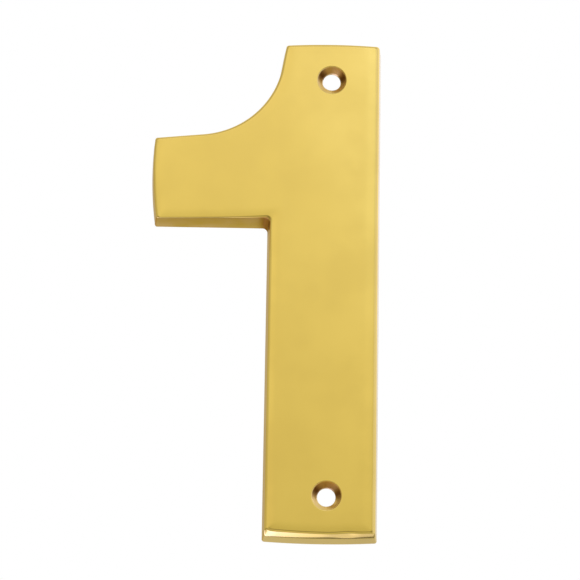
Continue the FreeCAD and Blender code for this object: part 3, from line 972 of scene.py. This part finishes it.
class BrassMaterials:
    """The finishes of the casting, each from the shared groups with its own values."""

    COAT_ROUGHNESS = 0.04

    def __init__(self, colours):
        self.colours = colours
        self.clouds = cloud_group()
        self.grain = grain_group()
        self.painted_shade = painted_shade_group()

    def placed(self, tree, group, values):
        """A group placed in a material's tree, with values for its sockets."""
        node = tree.nodes.new("ShaderNodeGroup")
        node.node_tree = group
        for name, value in values.items():
            node.inputs[name].default_value = value
        return node

    def finish(self, name, colours, tint, cloud_scale, gloss, stretch, grain_scale, relief,
               shade_colour=None, coat=0.0):
        """A brass finish: cloudy colour and roughness, and a grain raised by a bump.

        The two colours are the plain and the deep one, the gloss is the least and the most roughness,
        and the relief is the bump's strength and its distance. The tint is the metal's at a low angle.
        A painted shade colour, where there is one, shows by the mesh's painted shade attribute.
        """
        material = bpy.data.materials.new(name)
        material.use_nodes = True
        tree = material.node_tree
        shader = tree.nodes["Principled BSDF"]
        shader.inputs["Metallic"].default_value = 1.0
        shader.inputs["Specular Tint"].default_value = (*tint, 1)
        shader.inputs["Coat Weight"].default_value = coat
        shader.inputs["Coat Roughness"].default_value = self.COAT_ROUGHNESS
        place = tree.nodes.new("ShaderNodeTexCoord").outputs["Object"]
        plain, deep = ((*each, 1) for each in colours)
        smooth, rough = gloss
        cloudy = {
            "Scale": cloud_scale,
            "Colour": plain,
            "Deep colour": deep,
            "Smooth": smooth,
            "Rough": rough,
        }
        clouds = self.placed(tree, self.clouds, cloudy)
        grain = self.placed(tree, self.grain, {"Stretch": stretch, "Scale": grain_scale})
        raised = tree.nodes.new("ShaderNodeBump")
        raised.inputs["Strength"].default_value, raised.inputs["Distance"].default_value = relief
        tree.links.new(place, clouds.inputs["Vector"])
        tree.links.new(place, grain.inputs["Vector"])
        tree.links.new(grain.outputs["Height"], raised.inputs["Height"])
        coloured = clouds
        if shade_colour is not None:
            coloured = self.placed(tree, self.painted_shade, {"Shade colour": (*shade_colour, 1)})
            tree.links.new(clouds.outputs["Colour"], coloured.inputs["Colour"])
        tree.links.new(coloured.outputs["Colour"], shader.inputs["Base Color"])
        tree.links.new(clouds.outputs["Roughness"], shader.inputs["Roughness"])
        tree.links.new(raised.outputs["Normal"], shader.inputs["Normal"])
        return material

    def all(self):
        """The finishes in the order of their places: polished, its copy with painted shade, filed, cast and
        drilled.
        """
        brass = self.colours
        tint = brass.edge_tint
        # The buffed brass and its copy both darken towards the painted shade colour by the mesh's painted
        # shade
        buffed = {
            "cloud_scale": 90,
            "gloss": (0.10, 0.16),
            "stretch": (1, 1, 0.2),
            "grain_scale": 900,
            "relief": (0.04, 0.02 * MM),
            "shade_colour": brass.shade_colour,
            "coat": 0.15,
        }
        # The copy of the buffed brass with painted shade, for the sides under the flag
        under_flag = (brass.shaded_copy_colour, brass.polished_deep)
        return [
            self.finish("buffed_brass", (brass.polished, brass.polished_deep), tint, **buffed),
            self.finish("shaded_brass_copy", under_flag, brass.shaded_copy_tint, **buffed),
            self.finish(
                "filed_rim", (brass.filed, brass.filed_deep), tint, cloud_scale=300, gloss=(0.25, 0.4),
                stretch=(1, 1, 0.06), grain_scale=2500, relief=(0.3, 0.05 * MM),
            ),
            self.finish(
                "cast_skin", (brass.cast, brass.cast_deep), tint, cloud_scale=160, gloss=(0.5, 0.7),
                stretch=(1, 1, 1), grain_scale=1600, relief=(0.7, 0.2 * MM),
            ),
            # The drilled brass darkens by the painted shade on the countersinks' upper walls
            self.finish(
                "drilled_brass", (brass.drilled, brass.drilled_deep), tint, cloud_scale=500,
                gloss=(0.30, 0.42), stretch=(1, 1, 1), grain_scale=1500, relief=(0.1, 0.05 * MM),
                shade_colour=brass.countersink_shade,
            ),
        ]


class DOOR_NUMBER_OT_casting(bpy.types.Operator):
    """Build the casting with its brass finishes"""

    bl_idname = "door_number.casting"
    bl_label = "Cast numeral"

    def execute(self, context):
        scene = context.scene
        skin = casting_skin(scene.numeral_sizes, scene.hand_finish)
        faces = np.concatenate(skin.quads).tolist() + np.concatenate(skin.triangles).tolist()
        mesh = bpy.data.meshes.new("cast_numeral")
        mesh.from_pydata(skin.points, [], faces)
        for material in BrassMaterials(scene.brass_colours).all():
            mesh.materials.append(material)
        mesh.polygons.foreach_set("material_index", np.concatenate(skin.materials).astype(np.int32))
        # The painted shade, as a mesh attribute that the finishes read
        painted_shade = mesh.attributes.new(PAINTED_SHADE, "FLOAT", "POINT")
        painted_shade.data.foreach_set("value", skin.painted_shade.astype(np.float32))
        mesh.shade_smooth()
        mesh.set_sharp_from_angle(angle=SHARP_FROM)
        mesh.update()
        piece = bpy.data.objects.new("cast_numeral", mesh)
        scene.collection.objects.link(piece)
        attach(piece, "root")
        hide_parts(NODE)
        return {"FINISHED"}


def studio_floor(settings):
    """A wide, plain, pale floor well below the part."""
    half = settings.floor_size / 2
    height = BOX_LOW[2] - settings.floor_drop
    corners = [(-half, -half, height), (half, -half, height), (half, half, height), (-half, half, height)]
    mesh = bpy.data.meshes.new("floor")
    mesh.from_pydata(corners, [], [(0, 1, 2, 3)])
    material = bpy.data.materials.new("pale_floor")
    material.use_nodes = True
    shader = material.node_tree.nodes["Principled BSDF"]
    shader.inputs["Base Color"].default_value = (*settings.floor_colour, 1)
    shader.inputs["Roughness"].default_value = 0.9
    mesh.materials.append(material)
    floor = bpy.data.objects.new("floor", mesh)
    bpy.context.scene.collection.objects.link(floor)
    floor.visible_glossy = False


# The studio tent by the angle up from the viewer's side, round over the top to behind: the angle in
# degrees, the brightness there, and how cool its white is
TENT = (
    (-180, 0.80, 0.0),
    (-168, 0.66, 0.0),
    (-160, 0.62, 0.0),
    (-152, 0.66, 0.0),
    (-149, 0.25, 0.0),
    (-142.5, 0.18, 0.0),
    (-140, 1.30, 0.6),
    (-112, 1.30, 0.6),
    (-106, 0.60, 0.0),
    (-100, 0.46, 0.0),
    (-75, 0.60, 0.0),
    (-40, 0.60, 0.0),
    (-22, 0.30, 0.0),
    (-12, 0.26, 0.0),
    (2, 0.54, -0.1),
    (8, 0.64, -0.08),
    (15, 0.815, 0.05),
    (18, 0.865, 0.08),
    (22, 1.05, 0.26),
    (27, 0.95, 0.35),
    (36, 0.72, 0.35),
    (70, 0.66, 0.2),
    (100, 0.88, 0.0),
    (150, 0.84, 0.0),
    (180, 0.80, 0.0),
)

# A colour ramp holds nothing brighter than one, so the tent is drawn darker by this and lit by as much
TENT_PEAK = 4.0

# Places where the tent has a brightness of its own, by colour. A place starts and is full at two values of
# the parts of the unit vector that points at it: X to the right, Y to the back and Z up.
ENDS = (
    # Warm shade behind to the left
    ((0.50, 0.41, 0.24), {"x": (-0.03, -0.14), "y": (0.3, 0.8), "z": (-0.3, 0.0)}),
    # Left end
    ((0.6, 0.6, 0.6), {"x": (-0.55, -0.95)}),
    # Right end
    ((0.90, 0.94, 1.5), {"x": (0.35, 0.8)}),
)

# Places where the tent is tinted, given in the same way
TINTS = (
    # Cooler low behind to the left
    ((1.0, 1.0, 1.7), {"x": (0.0, -0.08), "y": (0.0, 0.3), "z": (-0.3, -0.6)}),
    # Brighter in front to the right, above the middle
    ((1.08, 1.15, 1.4), {"x": (0.004, 0.032), "y": (-0.6, -0.9), "z": (0.22, 0.34)}),
    # Warmer low in front to the left
    ((1.10, 1.06, 1.10), {"x": (-0.010, -0.020), "y": (0.0, -0.5), "z": (0.225, 0.19)}),
    # Paler to the right and behind, above the middle
    ((1.20, 1.20, 1.30), {"x": (0.05, 0.14), "y": (-0.6, 0.2), "z": (0.2, 0.3)}),
)

# In front, the tent brightens by so much for each part of X away from its middle, up to a limit
FRONT = {"y": (0.0, -0.5)}
FRONT_MIDDLE = -0.015
FRONT_GAIN = 2.2
FRONT_LIMIT = 0.06

# Farther out it darkens to the left and to the right by these amounts, between two values of X
FRONT_FADES = ((-0.3, (-0.07, -0.22)), (-0.18, (0.07, 0.25)))

# Low behind, it brightens to the left by so much for each part of X, from a start and between two limits
BELOW = {"y": (0.0, 0.3), "z": (-0.3, -0.6)}
BELOW_GAIN = -5.0
BELOW_START = -0.08
BELOW_LIMITS = (-0.3, 0.5)


class StudioLight:
    """A soft white tent as the world's light.

    Its brightness follows a ramp round the X axis, with ends, a shade and tints of their own colours,
    and what the camera sees of it directly is plain white.
    """

    def __init__(self):
        world = bpy.data.worlds.new("studio_tent")
        bpy.context.scene.world = world
        world.use_nodes = True
        self.tree = world.node_tree
        self.tree.nodes.clear()
        towards = self.node("ShaderNodeTexCoord").outputs["Generated"]
        parts = self.node("ShaderNodeSeparateXYZ", {0: towards}).outputs
        self.part = dict(zip("xyz", parts))

    def node(self, kind, inputs=(), **settings):
        """A node with its settings, and its inputs linked or set."""
        node = self.tree.nodes.new(kind)
        for name, value in settings.items():
            setattr(node, name, value)
        for place, value in dict(inputs).items():
            if isinstance(value, bpy.types.NodeSocket):
                self.tree.links.new(value, node.inputs[place])
            else:
                node.inputs[place].default_value = value
        return node

    def math(self, operation, *values):
        """The result of an operation on values."""
        return self.node("ShaderNodeMath", enumerate(values), operation=operation).outputs[0]

    def rise(self, value, low, high):
        """A smooth step from 0 at one value to 1 at another."""
        inputs = {"Value": value, "From Min": low, "From Max": high}
        return self.node("ShaderNodeMapRange", inputs, interpolation_type="SMOOTHSTEP").outputs["Result"]

    def place(self, spans):
        """A place on the tent: the product of smooth steps along the parts of its direction."""
        product = 1.0
        for part, (low, high) in spans.items():
            product = self.math("MULTIPLY", product, self.rise(self.part[part], low, high))
        return product

    def mix(self, share_there, plain, other, blend):
        """A colour with another mixed or multiplied into it by a share."""
        inputs = {MIX_SHARE: share_there, MIX_FIRST: plain, MIX_SECOND: (*other, 1)}
        node = self.node("ShaderNodeMix", inputs, data_type="RGBA", blend_type=blend)
        return node.outputs[MIX_RESULT]

    def ramp(self):
        """The tent's colour by the angle up from the viewer's side."""
        towards_viewer = self.math("MULTIPLY", self.part["y"], -1.0)
        up_angle = self.math("ARCTAN2", self.part["z"], towards_viewer)
        turn = self.math("MULTIPLY_ADD", up_angle, 0.5 / math.pi, 0.5)
        node = self.node("ShaderNodeValToRGB", {"Fac": turn})
        stops = node.color_ramp.elements
        # A new ramp has its first and last stop, and keeps its stops in order
        for degrees, _, _ in TENT[1:-1]:
            stops.new(degrees / 360 + 0.5)
        for stop, (_, bright, cool) in zip(stops, TENT):
            level = bright / TENT_PEAK
            stop.color = (level, level, level * (1 + cool), 1)
        return node.outputs["Color"]

    def colour(self):
        """The ramp's colour, with the ends and the shade laid over it and then the tints."""
        mixed = self.ramp()
        for bright, spans in ENDS:
            mixed = self.mix(self.place(spans), mixed, np.array(bright) / TENT_PEAK, "MIX")
        for tint, spans in TINTS:
            mixed = self.mix(self.place(spans), mixed, tint, "MULTIPLY")
        return mixed

    def strength(self):
        """The tent's strength: brighter off the middle in front, and low behind to the left."""
        x = self.part["x"]
        off_middle = self.math("ABSOLUTE", self.math("SUBTRACT", x, FRONT_MIDDLE))
        sides = self.math("MULTIPLY", self.math("MINIMUM", off_middle, FRONT_LIMIT), FRONT_GAIN)
        for change, (low, high) in FRONT_FADES:
            sides = self.math("MULTIPLY_ADD", self.rise(x, low, high), change, sides)
        front = self.math("MULTIPLY", sides, self.place(FRONT))
        to_left = self.math("MULTIPLY_ADD", x, BELOW_GAIN, BELOW_START)
        least, most = BELOW_LIMITS
        to_left = self.math("MINIMUM", self.math("MAXIMUM", to_left, least), most)
        total = self.math("MULTIPLY_ADD", to_left, self.place(BELOW), self.math("ADD", front, 1.0))
        return self.math("MULTIPLY", total, TENT_PEAK)

    def build(self):
        """Link the tent to the world's output, with plain white for what the camera sees."""
        tent = {"Color": self.colour(), "Strength": self.strength()}
        lit = self.node("ShaderNodeBackground", tent).outputs[0]
        white = self.node("ShaderNodeBackground", {"Color": (1, 1, 1, 1), "Strength": 1.0}).outputs[0]
        by_eye = self.node("ShaderNodeLightPath").outputs["Is Camera Ray"]
        both = self.node("ShaderNodeMixShader", {0: by_eye, 1: lit, 2: white}).outputs[0]
        self.node("ShaderNodeOutputWorld", {"Surface": both})


def studio_camera(settings):
    """The camera, below the part and looking up at it, placed so that the framed point lies on its pixel.

    The eye lies one distance back along the ray of that pixel, and the lens gives the image's scale.
    """
    pitch, yaw, roll = settings.pitch, settings.yaw, settings.roll
    forward = Vector((math.sin(yaw) * math.cos(pitch), math.cos(yaw) * math.cos(pitch), math.sin(pitch)))
    level = Vector((math.cos(yaw), -math.sin(yaw), 0))
    upright = level.cross(forward)
    right = math.cos(roll) * level - math.sin(roll) * upright
    up = math.sin(roll) * level + math.cos(roll) * upright
    focal = settings.scale * settings.distance
    across = (settings.framed_column - IMAGE_SIZE / 2) / focal
    down = (settings.framed_row - IMAGE_SIZE / 2) / focal
    framed = Vector((settings.framed_x, settings.framed_y, 0))
    eye = framed - settings.distance * (forward + across * right - down * up)
    data = bpy.data.cameras.new("photo_camera")
    data.lens = focal / IMAGE_SIZE * data.sensor_width
    data.clip_start = 10 * MM
    camera = bpy.data.objects.new("photo_camera", data)
    camera.matrix_world = Matrix.Translation(eye) @ Matrix((right, up, -forward)).transposed().to_4x4()
    bpy.context.scene.collection.objects.link(camera)
    bpy.context.scene.camera = camera


class DOOR_NUMBER_OT_stage(bpy.types.Operator):
    """Set up the floor, the light and the camera"""

    bl_idname = "door_number.stage"
    bl_label = "Studio"

    def execute(self, context):
        settings = context.scene.studio_settings
        studio_floor(settings)
        StudioLight().build()
        studio_camera(settings)
        context.scene.view_settings.view_transform = "Standard"
        return {"FINISHED"}


class DOOR_NUMBER_PT_panel(bpy.types.Panel):
    """Sizes, finishes and the steps that build the door number"""

    bl_label = "Door number"
    bl_idname = "DOOR_NUMBER_PT_panel"
    bl_space_type = "VIEW_3D"
    bl_region_type = "UI"
    bl_category = "Door number"

    def draw(self, context):
        for operator in (DOOR_NUMBER_OT_casting, DOOR_NUMBER_OT_stage):
            self.layout.operator(operator.bl_idname)
        for title, group in GROUPS.items():
            box = self.layout.box()
            settings = getattr(context.scene, title)
            for name in group.__annotations__:
                box.prop(settings, name)


GROUPS = {
    "numeral_sizes": NumeralSizes,
    "hand_finish": HandFinish,
    "brass_colours": BrassColours,
    "studio_settings": StudioSettings,
}
CLASSES = (*GROUPS.values(), DOOR_NUMBER_OT_casting, DOOR_NUMBER_OT_stage, DOOR_NUMBER_PT_panel)


def register():
    """Register the classes and give the scene their settings."""
    for each in CLASSES:
        bpy.utils.register_class(each)
    for title, group in GROUPS.items():
        setattr(bpy.types.Scene, title, PointerProperty(type=group))


def unregister():
    """Take the settings and the classes away again."""
    for title in GROUPS:
        delattr(bpy.types.Scene, title)
    for each in reversed(CLASSES):
        bpy.utils.unregister_class(each)


def main():
    """Build the casting and the studio."""
    register()
    bpy.ops.door_number.casting()
    bpy.ops.door_number.stage()


if __name__ == "__main__":
    main()
